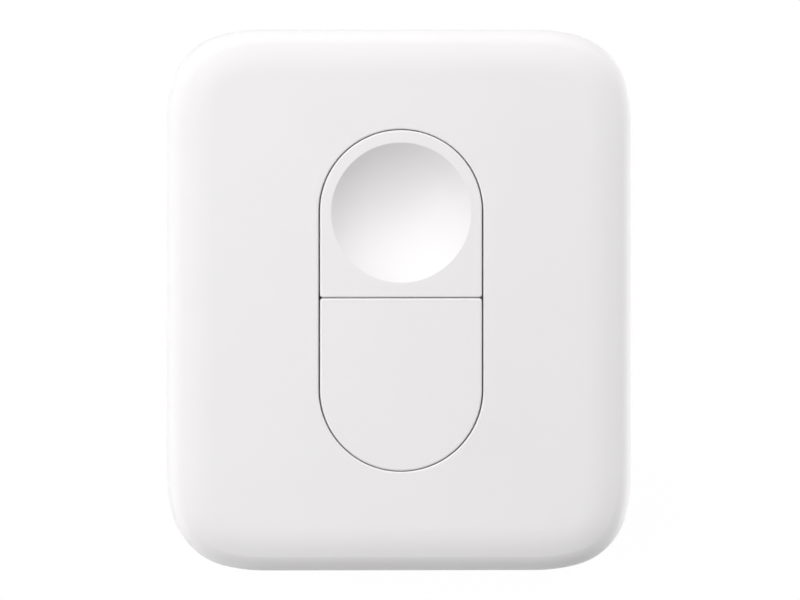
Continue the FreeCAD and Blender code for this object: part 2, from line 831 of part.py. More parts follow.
def cell_gasket():
    """Plastic ring between the can and the cap."""
    neck = gasket_outer - cell_rim_width
    toe = gasket_outer - cell_base_radius + cell_sheet
    z_bottom = z_cell + cell_sheet + cell_joint_clearance
    z_neck = z_cell_rim - cell_sheet - cell_joint_clearance
    points = [
        (gasket_inner, z_bottom),
        (toe, z_bottom),
        (gasket_outer, z_bottom + gasket_outer - toe),
        (gasket_outer, z_neck),
        (neck, z_neck),
        (neck, z_cell_rim),
        (gasket_inner, z_cell_rim),
    ]
    return turned(points, 0, cell_y)


def cell_cap():
    """Steel cap of the cell, with a skirt down inside the gasket."""
    z_skirt = z_cell_top - cell_skirt
    cap = rod(0, cell_y, z_skirt, z_cell_top, 2 * cap_outer)
    cap = cap.makeFillet(cell_cap_radius, level_edges(cap, z_cell_top))
    bore = rod(0, cell_y, z_skirt - over, z_cell_top - cell_sheet, 2 * (cap_outer - cell_sheet))
    bore = bore.makeFillet(cell_cap_radius - cell_sheet, level_edges(bore, z_cell_top - cell_sheet))
    return cap.cut(bore).Solids[0]


def cell_core():
    """Packed electrodes inside the cell."""
    z_bottom = z_cell + cell_sheet + cell_joint_clearance
    z_top = z_cell_top - cell_sheet - cell_joint_clearance
    radius = cap_outer - cell_sheet - cell_joint_clearance
    core = rod(0, cell_y, z_bottom, z_top, 2 * radius)
    return core.makeFillet(cell_cap_radius, level_edges(core, z_top))


def positive_contact():
    """Spring that presses on the side of the can, bent back from a foot under the board."""
    z_foot = z_board - positive_sheet / 2
    z_low = z_board - positive_drop
    z_touch = z_board - positive_touch
    path = [
        (positive_back_y + positive_foot, z_foot),
        (positive_back_y, z_foot),
        (positive_back_y, z_low),
        (positive_arm_y + positive_lean, z_low),
        (positive_arm_y, z_touch),
        (positive_arm_y + positive_lean, z_touch + positive_tip),
    ]
    return bent_strip(path, positive_sheet, positive_width, contact_bend)


def negative_contact():
    """Leaf spring under the board, its two arms down on the cap."""
    z_pad = z_board - negative_sheet / 2
    z_touch = z_cell_top + contact_clearance + negative_sheet / 2
    z_tip = (z_pad + z_touch) / 2
    half = negative_pad / 2
    touch = half + negative_arm
    tip = touch + negative_tip
    arm = [(half, z_pad), (touch, z_touch), (tip, z_tip)]
    path = [(-y, z) for y, z in reversed(arm)] + arm
    return bent_strip([(cell_y + y, z) for y, z in path], negative_sheet, negative_width, contact_bend)


def radio_chip():
    """Flat radio chip."""
    return centred_box(-bay_x, chip_y, chip_side, chip_side, z_board_top, z_board_top + chip_height)


def radio_chip_leads():
    """Solder ends round the chip's foot."""
    lead_x = (chip_side + chip_lead_reach) / 2
    z_top = z_board_top + chip_lead_height
    lead = centred_box(lead_x, 0, chip_lead_reach, chip_lead_width, z_board_top, z_top)
    group = []
    for quarter in range(4):
        for k in range(chip_lead_count):
            copy = lead.copy()
            copy.translate(Vector(0, (k - (chip_lead_count - 1) / 2) * chip_lead_pitch, 0))
            copy.rotate(Vector(0, 0, 0), Vector(0, 0, 1), 90 * quarter)
            copy.translate(Vector(-bay_x, chip_y, 0))
            group.append(copy)
    return Part.makeCompound(group)


def crystal_base():
    """Ceramic base of the crystal."""
    z_top = z_board_top + crystal_base_height
    return centred_box(-bay_x, crystal_y, crystal_width, crystal_length, z_board_top, z_top)


def crystal_lid():
    """Metal lid of the crystal."""
    margins = 2 * crystal_lid_margin
    width, length = crystal_width - margins, crystal_length - margins
    z_bottom = z_board_top + crystal_base_height
    return centred_box(-bay_x, crystal_y, width, length, z_bottom, z_board_top + crystal_height)


def part_places(rows, columns, x, y):
    """Centres of a block of small parts, one (x, y) for each."""
    places = []
    for j in range(rows):
        for k in range(columns):
            across = (k - (columns - 1) / 2) * small_part_pitch_x
            along = (j - (rows - 1) / 2) * small_part_pitch_y
            places.append((x + across, y + along))
    return places


def small_bodies(places):
    """Bodies of chip parts, between their metal ends."""
    length = small_part_length - 2 * small_part_end
    return [centred_box(x, y, length, small_part_width, z_board_top, z_small_part) for x, y in places]


def small_ends(places):
    """Metal ends of chip parts."""
    offset = (small_part_length - small_part_end) / 2
    group = []
    for x, y in places:
        for side in (1, -1):
            end_x = x + side * offset
            group.append(centred_box(end_x, y, small_part_end, small_part_width, z_board_top, z_small_part))
    return group


def inductor():
    """Ferrite body of the inductor."""
    length = inductor_length - 2 * inductor_end
    return centred_box(bay_x, inductor_y, inductor_width, length, z_board_top, z_board_top + inductor_height)


def inductor_ends():
    """Metal ends of the inductor."""
    offset = (inductor_length - inductor_end) / 2
    z_top = z_board_top + inductor_height
    return [
        centred_box(bay_x, inductor_y + side * offset, inductor_width, inductor_end, z_board_top, z_top)
        for side in (1, -1)
    ]


def antenna():
    """Printed antenna: a meander of copper near the far edge of the board."""
    pitch = antenna_width + antenna_gap
    y_top = half_length - board_inset - antenna_edge
    y_bottom = y_top - antenna_depth
    x_start = -antenna_led_distance
    z_top = z_board_top + antenna_copper
    strips = []
    for k in range(antenna_turns):
        x = x_start - k * pitch
        y_middle = (y_top + y_bottom) / 2
        strips.append(centred_box(x, y_middle, antenna_width, antenna_depth, z_board_top, z_top))
        if k < antenna_turns - 1:
            y = y_top - antenna_width / 2 if k % 2 else y_bottom + antenna_width / 2
            strips.append(centred_box(x - pitch / 2, y, pitch, antenna_width, z_board_top, z_top))
    return joined(strips[0], strips[1:])


def status_led():
    """Small light on the board, under the light pipe."""
    return centred_box(0, led_y, led_length, led_width, z_board_top, z_board_top + led_height)


def light_pipe():
    """Clear rod from the light to the thin spot in the front."""
    return rod(0, led_y, z_board_top + led_height + light_pipe_air, z_light_window, light_pipe_diameter)


capacitor_places = part_places(capacitor_rows, capacitor_columns, bay_x, capacitor_y)
resistor_places = part_places(resistor_rows, resistor_columns, bay_x, resistor_y)
small_part_places = capacitor_places + resistor_places

pieces = {
    "front_shell": front_shell(),
    "back_cover": back_cover(),
    "battery_pad": battery_pad(),
    "guide_plate": guide_plate(),
    "chassis": chassis(),
    "screws": screws(),
    "circuit_board": circuit_board(),
    "cell_can": cell_can(),
    "cell_gasket": cell_gasket(),
    "cell_cap": cell_cap(),
    "cell_core": cell_core(),
    "positive_contact": positive_contact(),
    "negative_contact": negative_contact(),
    "radio_chip": radio_chip(),
    "radio_chip_leads": radio_chip_leads(),
    "crystal_base": crystal_base(),
    "crystal_lid": crystal_lid(),
    "capacitors": Part.makeCompound(small_bodies(capacitor_places)),
    "resistors": Part.makeCompound(small_bodies(resistor_places)),
    "inductor": inductor(),
    "chip_part_ends": Part.makeCompound(small_ends(small_part_places) + inductor_ends()),
    "antenna": antenna(),
    "status_led": status_led(),
    "light_pipe": light_pipe(),
}
for name, side in BUTTON_SIDES.items():
    y = side * switch_y
    pieces[name + "_button"] = button(name)
    pieces[name + "_switch_base"] = switch_base(y)
    pieces[name + "_switch_terminals"] = switch_terminals(y)
    pieces[name + "_switch_dome"] = switch_dome(y)
    pieces[name + "_switch_plunger"] = switch_plunger(y)
    pieces[name + "_switch_cover"] = switch_cover(y)

os.makedirs("parts", exist_ok=True)
for name, shape in pieces.items():
    shape.exportStep("parts/" + name + ".step")
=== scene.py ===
"""Looks of the smart remote: finishes, small details, light and camera around its packed construction.

Everything is in metres in the part's own frame: X is the width, Y the length towards the dished
button, and Z points out of the front. The remote lies on its back on a pale floor, and the camera
looks almost straight down.
"""

import functools
import json
import math

import bmesh
import bpy
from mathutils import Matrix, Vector, noise


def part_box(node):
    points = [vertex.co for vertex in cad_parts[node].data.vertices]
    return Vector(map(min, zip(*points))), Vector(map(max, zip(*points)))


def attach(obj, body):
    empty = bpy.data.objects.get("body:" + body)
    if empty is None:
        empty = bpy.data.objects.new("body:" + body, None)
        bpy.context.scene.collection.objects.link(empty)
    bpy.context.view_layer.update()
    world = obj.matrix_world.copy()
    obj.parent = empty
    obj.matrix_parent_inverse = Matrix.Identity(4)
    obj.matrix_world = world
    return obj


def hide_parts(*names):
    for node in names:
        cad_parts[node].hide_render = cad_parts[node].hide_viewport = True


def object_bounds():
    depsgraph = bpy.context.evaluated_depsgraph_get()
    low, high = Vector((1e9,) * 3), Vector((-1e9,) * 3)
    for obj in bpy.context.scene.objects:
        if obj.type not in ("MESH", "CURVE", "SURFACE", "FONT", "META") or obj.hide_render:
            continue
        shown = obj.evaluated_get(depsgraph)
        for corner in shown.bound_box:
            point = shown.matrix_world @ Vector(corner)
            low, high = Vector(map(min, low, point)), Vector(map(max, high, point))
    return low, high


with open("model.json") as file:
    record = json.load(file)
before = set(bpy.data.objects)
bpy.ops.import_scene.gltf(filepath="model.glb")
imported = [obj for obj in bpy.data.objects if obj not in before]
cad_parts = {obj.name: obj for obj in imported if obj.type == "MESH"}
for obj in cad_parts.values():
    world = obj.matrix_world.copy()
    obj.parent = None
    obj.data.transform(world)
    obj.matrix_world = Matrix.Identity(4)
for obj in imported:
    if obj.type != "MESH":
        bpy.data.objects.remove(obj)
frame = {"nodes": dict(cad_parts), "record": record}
cad_low, cad_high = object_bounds()
nodes = frame["nodes"]

MM = 0.001

# Framing: the width that the picture takes in at the level of the widest outline, the lens, and how
# many degrees the camera stands to the left and to the top of straight down
picture_width = 63.63 * MM
outline_level = 9.9 * MM
lens = 600.0
sensor = 36.0
camera_to_left = 2.4
camera_to_top = 1.2

# Floor, with an opening under the remote
floor_half = 1.5
floor_drop = 0.05 * MM
floor_hole_inset = 1.9 * MM
floor_hole_corner = 3.6 * MM
floor_corner_steps = 8
floor_bounce = 0.8
floor_glow = 0.965
floor_shadow = 0.05

# Light: what each lamp adds to a surface that faces it, as a share of the plain level. The two cards
# lie below the floor, which lets their light pass, and brighten the rim as a white table does.
ambient = 0.2
LAMPS = {
    "top_softbox": dict(azimuth=112, elevation=27, distance=0.42, size=0.21, level=0.374),
    "left_softbox": dict(azimuth=180, elevation=45, distance=0.32, size=0.19, level=0.292),
    "overhead_softbox": dict(azimuth=180, elevation=65, distance=0.36, size=0.22, level=0.312),
    "right_softbox": dict(azimuth=45, elevation=27, distance=0.5, size=0.25, level=0.325),
    "right_card": dict(azimuth=350, elevation=-18, distance=0.34, size=0.16, level=0.5),
    "left_card": dict(azimuth=208, elevation=-12, distance=0.34, size=0.16, level=0.21),
}

# Kinds of ray that see the white background
SEEN = ("Is Camera Ray", "Is Glossy Ray", "Is Transmission Ray")

# Foam pad on the back cover: the shares of its radius at which its flat faces are divided, the step
# in degrees round its side, how far its side draws in at the edges, and how uneven its top is
foam_points = 72
foam_rings = (0.9, 0.7, 0.5, 0.3, 0.12)
foam_side_step = 30
foam_edge = 0.12 * MM
foam_ripple = 1.3 * MM
foam_dip = 0.02 * MM

# Copper on the board. The top of a track is a share of its width, and its corners are cut by
# track_cut, or by a share of its upright run where that is short.
copper_rise = 0.035 * MM
track_rise = 0.028 * MM
track_width = 0.2 * MM
track_top = 0.7
track_pitch = 0.45 * MM
track_cut = 0.3 * MM
track_cut_share = 0.4

# Vias: tinned rings round plated holes, whose floor stands at a share of the ring's height
via_radius = 0.25 * MM
via_bore = 0.12 * MM
via_floor = 0.2

# Solder under the solids of these nodes, in beads with a ring of points at each of these angles up
# their side
SOLDERED = ("radio_chip_leads", "chip_part_ends", "upper_switch_terminals", "lower_switch_terminals")
pad_rim = 0.08 * MM
bead_angles = (0, 25, 50, 75)
round_points = 16
solder_reach = 0.12 * MM
solder_climb = 0.35

# Tracks on the side of the board that carries the parts. Each track from the chip has an upright
# lane, counted in track pitches from the leads, and one of them ends free in a via of its own. The
# crystal's two tracks are counted in leads from the middle of the chip.
lead_pitch = 0.5 * MM
lead_lanes = (3, 4, 5, 6, 7, 5, 3, 2)
free_end_lane = 8
free_end_lead = 3
crystal_lead = 2
bus_rise = 0.022 * MM
bus_offset = 0.35 * MM
bus_tail = 0.8 * MM

# The side of the board that faces the cell: the weld pad of the cell's contact with its weld spots,
# two columns of test pads, and a bundle of tracks beside them
weld_pad_rim = 0.35 * MM
weld_pad_half = 2.85 * MM
weld_spot = 0.42 * MM
weld_spot_rise = 0.14 * MM
weld_spot_offset = 1.4 * MM
test_pad_radius = 0.6 * MM
test_pad_pitch = 1.9 * MM
test_pad_column = 4.4 * MM
test_pad_rows = 4
test_via_column = 8.9 * MM
bundle_column = 4.2 * MM
bundle_half = 5.2 * MM
bundle_step = 0.6 * MM
bundle_tracks = 6

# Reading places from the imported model: points this near are one, and columns are told apart to a
# micrometre
same_point = 0.001 * MM
place_digits = 6

# Finishes: the values that soft noise mostly stays between, the scale that gives the glass weave a
# wave for each millimetre, the dimple on the chip, with the share of its width where its wall starts,
# and how strongly clear plastic bends light
noise_low = 0.3
noise_high = 0.7
weave_scale = 320.0
weave_strength = 0.6
dimple_inset = 0.75 * MM
dimple_width = 1.0 * MM
dimple_wall = 0.42
clear_ior = 1.49
WHITE = (1.0, 1.0, 1.0, 1.0)
CASE_WHITE = (0.86, 0.845, 0.852)
LAMINATE = (0.52, 0.47, 0.28)
LAMINATE_DARK = (0.38, 0.35, 0.20)
CERAMIC_WHITE = (0.80, 0.80, 0.78)


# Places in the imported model

def solids_of(node):
    """Boxes of the separate solids in a CAD node, in the order of their places."""
    shape = bmesh.new()
    shape.from_mesh(nodes[node].data)
    bmesh.ops.remove_doubles(shape, verts=shape.verts, dist=same_point)
    waiting = set(shape.verts)
    boxes = []
    while waiting:
        reached = [waiting.pop()]
        for vertex in reached:
            for edge in vertex.link_edges:
                other = edge.other_vert(vertex)
                if other in waiting:
                    waiting.discard(other)
                    reached.append(other)
        low = Vector([min(v.co[axis] for v in reached) for axis in range(3)])
        high = Vector([max(v.co[axis] for v in reached) for axis in range(3)])
        boxes.append((low, high))
    shape.free()
    return sorted(boxes, key=lambda box: tuple(box[0]))


def middle(low, high):
    """Middle of a box, seen from the front."""
    return (low.x + high.x) / 2, (low.y + high.y) / 2


# Materials

class Finish:
    """A material on one Principled shader, with short ways to add the detail that varies over it."""

    def __init__(self, name, colour, roughness, metallic=0.0):
        self.material = bpy.data.materials.new(name + "_finish")
        self.material.use_nodes = True
        self.tree = self.material.node_tree
        self.shader = self.tree.nodes["Principled BSDF"]
        self.set("Base Color", (*colour, 1.0))
        self.set("Roughness", roughness)
        self.set("Metallic", metallic)
        self.colour = colour
        self.roughness = roughness
        self.place = self.add("ShaderNodeTexCoord").outputs["Object"]
        self.normal = None

    def set(self, socket, value):
        """Sets one of the shader's own sockets, the same all over the surface."""
        self.shader.inputs[socket].default_value = value

    def drive(self, socket, source):
        """Links one of the shader's sockets to what varies over the surface."""
        self.tree.links.new(source, self.shader.inputs[socket])

    def feed(self, socket, value):
        """Links a socket to another one, or sets it to a value."""
        if isinstance(value, bpy.types.NodeSocket):
            self.tree.links.new(value, socket)
        elif socket.type == "RGBA":
            socket.default_value = (*value, 1.0)
        else:
            socket.default_value = value

    def add(self, kind, **settings):
        """New node, with its own settings and its inputs by name."""
        node = self.tree.nodes.new(kind)
        for key, value in settings.items():
            if hasattr(node, key):
                setattr(node, key, value)
            else:
                self.feed(node.inputs[key], value)
        return node

    def math(self, operation, a, b=0.0):
        """Result of a sum with one or two numbers."""
        node = self.add("ShaderNodeMath", operation=operation)
        self.feed(node.inputs[0], a)
        self.feed(node.inputs[1], b)
        return node.outputs[0]

    def vector(self, operation, a, b=(0.0, 0.0, 0.0)):
        """Result of a sum with one or two vectors: a number for a distance or a dot product."""
        node = self.add("ShaderNodeVectorMath", operation=operation)
        self.feed(node.inputs[0], a)
        self.feed(node.inputs[1], b)
        return node.outputs["Value" if operation in ("DISTANCE", "DOT_PRODUCT") else "Vector"]

    def from_axis(self, x, y, mirrored=False):
        """Distance from an upright axis, or from the nearest of its four mirror images."""
        place = self.vector("ABSOLUTE", self.place) if mirrored else self.place
        return self.vector("DISTANCE", self.vector("MULTIPLY", place, (1.0, 1.0, 0.0)), (x, y, 0.0))

    def level_faces(self):
        """1 on level faces, whichever side they are on, and 0 on upright ones."""
        normal = self.add("ShaderNodeTexCoord").outputs["Normal"]
        upright = self.math("ABSOLUTE", self.vector("DOT_PRODUCT", normal, (0.0, 0.0, 1.0)))
        return self.math("GREATER_THAN", upright, 0.5)

    def stretched(self, across, along=1.0, up=1.0):
        """Texture place with its axes scaled apart, for grain that runs one way."""
        node = self.add("ShaderNodeMapping", Vector=self.place, Scale=(across, along, up))
        return node.outputs["Vector"]

    def noise(self, size, detail=2.0, place=None):
        """Soft noise whose features are about size across."""
        place = place or self.place
        node = self.add("ShaderNodeTexNoise", Vector=place, Scale=1.0 / size, Detail=detail)
        return node.outputs["Fac"]

    def spots(self, size):
        """Distance from scattered points about size apart."""
        node = self.add("ShaderNodeTexVoronoi", Vector=self.place, Scale=1.0 / size)
        return node.outputs["Distance"]

    def ramp(self, factor, *stops):
        """Colour or value that changes from one (position, colour) stop to the other."""
        node = self.add("ShaderNodeValToRGB", Fac=factor)
        for element, (position, colour) in zip(node.color_ramp.elements, stops):
            element.position = position
            rgb = colour if isinstance(colour, tuple) else (colour, colour, colour)
            element.color = (*rgb, 1.0)
        return node.outputs["Color"]

    def drift(self, factor, low, high):
        """Colour or value that drifts between two others as soft noise does."""
        return self.ramp(factor, (noise_low, low), (noise_high, high))

    def mix(self, factor, low, high):
        """Colour between two others."""
        node = self.add("ShaderNodeMix", data_type="RGBA")
        colour_sockets = [socket for socket in node.inputs if socket.type == "RGBA"]
        for socket, value in zip((node.inputs[0], *colour_sockets), (factor, low, high)):
            self.feed(socket, value)
        return next(socket for socket in node.outputs if socket.type == "RGBA")

    def mottle(self, factor, share):
        """Base colour that drifts by a share up and down."""
        low = tuple(c * (1 - share) for c in self.colour)
        high = tuple(min(1.0, c * (1 + share)) for c in self.colour)
        colour = self.drift(factor, low, high)
        self.drive("Base Color", colour)
        return colour

    def dull(self, factor, spread):
        """Roughness that drifts by spread up and down."""
        self.drive("Roughness", self.drift(factor, self.roughness - spread, self.roughness + spread))

    def bump(self, height, depth, strength=1.0):
        """Relief of a real depth, on top of any relief before it."""
        settings = {"Height": height, "Distance": depth, "Strength": strength}
        if self.normal:
            settings["Normal"] = self.normal
        self.normal = self.add("ShaderNodeBump", **settings).outputs["Normal"]
        self.drive("Normal", self.normal)


def moulded(name, colour, roughness, grain, depth, drift=0.006):
    """Injection-moulded plastic with a fine eroded grain and a slight drift of tone and gloss."""
    finish = Finish(name, colour, roughness)
    finish.mottle(finish.noise(size=7 * MM, detail=3.0), share=drift)
    finish.dull(finish.noise(size=0.9 * MM), spread=0.025)
    finish.bump(finish.noise(size=grain), depth=depth)
    return finish


def case_plastic():
    return moulded("case_plastic", CASE_WHITE, roughness=0.6, grain=0.11 * MM, depth=0.0018 * MM)


def button_plastic():
    return moulded("button_plastic", CASE_WHITE, roughness=0.56, grain=0.09 * MM, depth=0.0015 * MM)


def inner_plastic():
    return moulded("inner_plastic", (0.78, 0.78, 0.77), roughness=0.4, grain=0.3 * MM,
                   depth=0.002 * MM, drift=0.015)


def switch_plastic():
    return moulded("switch_plastic", (0.05, 0.05, 0.055), roughness=0.42, grain=0.07 * MM,
                   depth=0.002 * MM, drift=0.1)


def gasket_plastic():
    return moulded("gasket_plastic", (0.10, 0.16, 0.30), roughness=0.25, grain=0.15 * MM,
                   depth=0.001 * MM, drift=0.06)


def masked_copper():
    """Solder mask where copper runs under it, lighter than over bare laminate."""
    return moulded("masked_copper", (0.055, 0.33, 0.15), roughness=0.28, grain=0.4 * MM,
                   depth=0.001 * MM, drift=0.08)


def chip_plastic():
    """Moulded epoxy, with the small round dimple that marks its first lead."""
    low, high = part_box("radio_chip")
    finish = moulded("chip_plastic", (0.04, 0.04, 0.042), roughness=0.55, grain=0.05 * MM,
                     depth=0.003 * MM, drift=0.1)
    reach = finish.from_axis(low.x + dimple_inset, high.y - dimple_inset)
    share = finish.math("DIVIDE", reach, dimple_width)
    finish.bump(finish.ramp(share, (dimple_wall, 0.0), (0.5, 1.0)), depth=0.04 * MM)
    return finish


def clear_plastic():
    """Clear moulded plastic with a soft ripple from the mould."""
    finish = Finish("clear_plastic", (0.95, 0.96, 0.97), roughness=0.08)
    finish.set("Transmission Weight", 1.0)
    finish.set("IOR", clear_ior)
    finish.mottle(finish.noise(size=0.5 * MM), share=0.01)
    finish.dull(finish.noise(size=0.3 * MM), spread=0.03)
    finish.bump(finish.noise(size=0.8 * MM), depth=0.004 * MM)
    return finish


def light_lens():
    """Clear yellowish resin, a little cloudy."""
    finish = Finish("light_lens", (0.90, 0.88, 0.72), roughness=0.15)
    finish.mottle(finish.noise(size=0.3 * MM), share=0.05)
    finish.dull(finish.noise(size=0.2 * MM), spread=0.04)
    return finish


def foam():
    """Closed-cell foam: small round cells and a soft unevenness."""
    finish = Finish("foam", (0.12, 0.12, 0.125), roughness=0.95)
    finish.mottle(finish.spots(size=0.22 * MM), share=0.35)
    finish.bump(finish.noise(size=1.2 * MM), depth=0.02 * MM)
    finish.bump(finish.spots(size=0.22 * MM), depth=0.03 * MM)
    return finish


def metal(name, colour, roughness, drift=0.05):
    """Plain metal with a slight drift of tone and gloss."""
    finish = Finish(name, colour, roughness, metallic=1.0)
    finish.mottle(finish.noise(size=0.8 * MM, detail=3.0), share=drift)
    finish.dull(finish.noise(size=0.3 * MM, detail=3.0), spread=0.06)
    return finish


def spun(finish, x, y, mirrored=False):
    """Fine grooves round an upright axis, as turning or polishing leaves them."""
    radius = finish.add("ShaderNodeCombineXYZ", X=finish.from_axis(x, y, mirrored)).outputs[0]
    finish.bump(finish.noise(size=0.07 * MM, detail=3.0, place=radius), depth=0.0015 * MM)
    return finish


def screw_steel():
    """Zinc plate, turned under the heads."""
    finish = metal("screw_steel", (0.62, 0.62, 0.60), roughness=0.33)
    return spun(finish, *middle(*solids_of("screws")[-1]), mirrored=True)


def cell_steel():
    """Stainless sheet, spun round the cell's axis, with a few light rubs."""
    finish = metal("cell_steel", (0.72, 0.72, 0.71), roughness=0.24, drift=0.03)
    spun(finish, *middle(*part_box("cell_can")))
    rubs = finish.noise(size=0.12 * MM, detail=4.0, place=finish.stretched(0.15))
    finish.bump(rubs, depth=0.0006 * MM)
    return finish


def spring_steel():
    """Nickel-plated strip, with the lines that rolling leaves along it."""
    finish = metal("spring_steel", (0.70, 0.70, 0.68), roughness=0.28)
    lines = finish.noise(size=0.05 * MM, place=finish.stretched(1.0, 0.05, 0.3))
    finish.bump(lines, depth=0.001 * MM)
    return finish


def tin():
    """Solder and tinned ends, a little lumpy."""
    finish = metal("tin", (0.76, 0.76, 0.74), roughness=0.34)
    finish.bump(finish.noise(size=0.25 * MM, detail=3.0), depth=0.008 * MM)
    return finish


def copper():
    """Gold-plated copper foil."""
    return metal("copper", (0.72, 0.45, 0.25), roughness=0.26, drift=0.06)


def board_laminate():
    """Green solder mask over a glass weave, and bare tan laminate on the cut edges."""
    finish = Finish("board_laminate", (0.03, 0.22, 0.10), roughness=0.3)
    mask = finish.mottle(finish.noise(size=4 * MM, detail=3.0), share=0.12)
    grain = finish.noise(size=0.12 * MM, detail=3.0, place=finish.stretched(0.1, 0.1))
    layers = finish.drift(grain, LAMINATE_DARK, LAMINATE)
    finish.drive("Base Color", finish.mix(finish.level_faces(), layers, mask))
    for axis in ("X", "Y"):
        weave = finish.add("ShaderNodeTexWave", bands_direction=axis, Vector=finish.place,
                           Scale=weave_scale)
        finish.bump(weave.outputs["Fac"], depth=0.004 * MM, strength=weave_strength)
    return finish


def part_ceramic():
    """Fired ceramic, speckled."""
    finish = Finish("part_ceramic", (0.62, 0.50, 0.36), roughness=0.5)
    finish.mottle(finish.noise(size=0.07 * MM, detail=4.0), share=0.12)
    finish.bump(finish.noise(size=0.05 * MM), depth=0.003 * MM)
    return finish


def resistor_ceramic():
    """White ceramic under a dark glaze on the level faces."""
    finish = Finish("resistor_ceramic", (0.05, 0.05, 0.06), roughness=0.3)
    glaze = finish.mottle(finish.noise(size=0.1 * MM, detail=3.0), share=0.15)
    finish.drive("Base Color", finish.mix(finish.level_faces(), CERAMIC_WHITE, glaze))
    finish.dull(finish.noise(size=0.15 * MM), spread=0.05)
    return finish


def ferrite():
    """Dark sintered grain."""
    finish = Finish("ferrite", (0.16, 0.15, 0.15), roughness=0.6)
    finish.mottle(finish.spots(size=0.06 * MM), share=0.3)
    finish.bump(finish.noise(size=0.06 * MM, detail=3.0), depth=0.006 * MM)
    return finish


def electrode():
    """Pressed powder, dark and grainy."""
    finish = Finish("electrode", (0.08, 0.08, 0.08), roughness=0.85)
    finish.mottle(finish.noise(size=0.12 * MM, detail=4.0), share=0.4)
    finish.bump(finish.noise(size=0.06 * MM, detail=3.0), depth=0.01 * MM)
    return finish


# Each finish is made by the function of its own name
FINISHES = {make.__name__: make for make in (
    case_plastic, button_plastic, inner_plastic, switch_plastic, gasket_plastic, masked_copper,
    chip_plastic, clear_plastic, light_lens, foam, screw_steel, cell_steel, spring_steel, tin, copper,
    board_laminate, part_ceramic, resistor_ceramic, ferrite, electrode,
)}


@functools.cache
def dress(name):
    """The material of a finish, made once."""
    return FINISHES[name]().material


for part in frame["record"]["subparts"]:
    mesh = nodes[part["node"]].data
    mesh.materials.clear()
    mesh.materials.append(dress(part["material_slot"]))


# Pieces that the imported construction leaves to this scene

def add_piece(name, shape, body, slot, finish=None):
    """Turns a bmesh into a piece that rides on a body."""
    bmesh.ops.recalc_face_normals(shape, faces=shape.faces)
    mesh = bpy.data.meshes.new(name)
    shape.to_mesh(mesh)
    shape.free()
    mesh.materials.append(dress(finish or slot))
    piece = bpy.data.objects.new(name, mesh)
    bpy.context.scene.collection.objects.link(piece)
    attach(piece, body)
    return piece


def ring_of(centre, half_x, half_y, count, z):
    """Points round an ellipse."""
    angles = [2 * math.pi * k / count for k in range(count)]
    return [(centre[0] + half_x * math.cos(a), centre[1] + half_y * math.sin(a), z) for a in angles]


def skin(shape, rings):
    """Joins rings of the same number of points into a surface, with lids on its two ends."""
    loops = [[shape.verts.new(point) for point in ring] for ring in rings]
    for low, high in zip(loops, loops[1:]):
        for k in range(len(low)):
            following = (k + 1) % len(low)
            shape.faces.new((low[k], low[following], high[following], high[k]))
    shape.faces.new(loops[0][::-1])
    shape.faces.new(loops[-1])


def foam_pad():
    """The foam disc on the back cover: it bulges at its side and its top is a little uneven."""
    low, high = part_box("battery_pad")
    radius = (high.x - low.x) / 2
    half_height = (high.z - low.z) / 2
    profile = [(radius * share, low.z) for share in reversed(foam_rings)]
    for degrees in range(-90, 91, foam_side_step):
        turn = math.radians(degrees)
        inset = foam_edge * (1 - math.cos(turn))
        profile.append((radius - inset, low.z + half_height * (1 + math.sin(turn))))
    profile += [(radius * share, high.z) for share in foam_rings]
    shape = bmesh.new()
    skin(shape, [ring_of(middle(low, high), r, r, foam_points, z) for r, z in profile])
    for vertex in shape.verts:
        if vertex.co.z > low.z + half_height:
            vertex.co.z -= foam_dip * (1 + noise.noise(vertex.co / foam_ripple)) / 2
    for face in shape.faces:
        face.smooth = True
    piece = add_piece("foam_pad", shape, "cover", "foam")
    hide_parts("battery_pad")


def plate(shape, low, high, base, top):
    """Flat rectangle with upright sides."""
    corners = ((low[0], low[1]), (high[0], low[1]), (high[0], high[1]), (low[0], high[1]))
    skin(shape, [[(x, y, z) for x, y in corners] for z in (base, top)])


def bead(shape, centre, half_x, half_y, base, rise):
    """Flattened drop, as solder stands on a pad."""
    rings = []
    for degrees in bead_angles:
        turn = math.radians(degrees)
        z = base + rise * math.sin(turn)
        rings.append(ring_of(centre, half_x * math.cos(turn), half_y * math.cos(turn), round_points, z))
    skin(shape, rings)


def disc(shape, centre, radius, base, rise):
    """Flat round pad."""
    skin(shape, [ring_of(centre, radius, radius, round_points, z) for z in (base, base + rise)])


def via(shape, centre, base, rise):
    """Tinned ring round a small plated hole."""
    levels = ((via_radius, 0.0), (via_radius, 1.0), (via_bore, 1.0), (via_bore, via_floor))
    skin(shape, [ring_of(centre, r, r, round_points, base + share * rise) for r, share in levels])


def track(shape, points, base, rise):
    """Copper track under the mask along a bent line, narrower at its top."""
    runs = [(Vector(b) - Vector(a)).normalized() for a, b in zip(points, points[1:])]
    sides = ((0.5, base), (-0.5, base), (-track_top / 2, base + rise), (track_top / 2, base + rise))
    rings = []
    for point, before, after in zip(points, [runs[0], *runs], [*runs, runs[-1]]):
        across = Vector((-before.y - after.y, before.x + after.x)) / (1 + before.dot(after))
        ring = []
        for side, z in sides:
            place = Vector(point) + across * side * track_width
            ring.append((place.x, place.y, z))
        rings.append(ring)
    skin(shape, rings)


def route(start, lane, end):
    """Bent line from start across to an upright lane, along it and across to the end, corners cut."""
    (x0, y0), (x1, y1) = start, end
    cut = min(track_cut, track_cut_share * abs(y1 - y0))
    rise = math.copysign(cut, y1 - y0)
    into = math.copysign(cut, lane - x0)
    out = math.copysign(cut, x1 - lane)
    return [
        (x0, y0),
        (lane - into, y0),
        (lane, y0 + rise),
        (lane, y1 - rise),
        (lane + out, y1),
        (x1, y1),
    ]


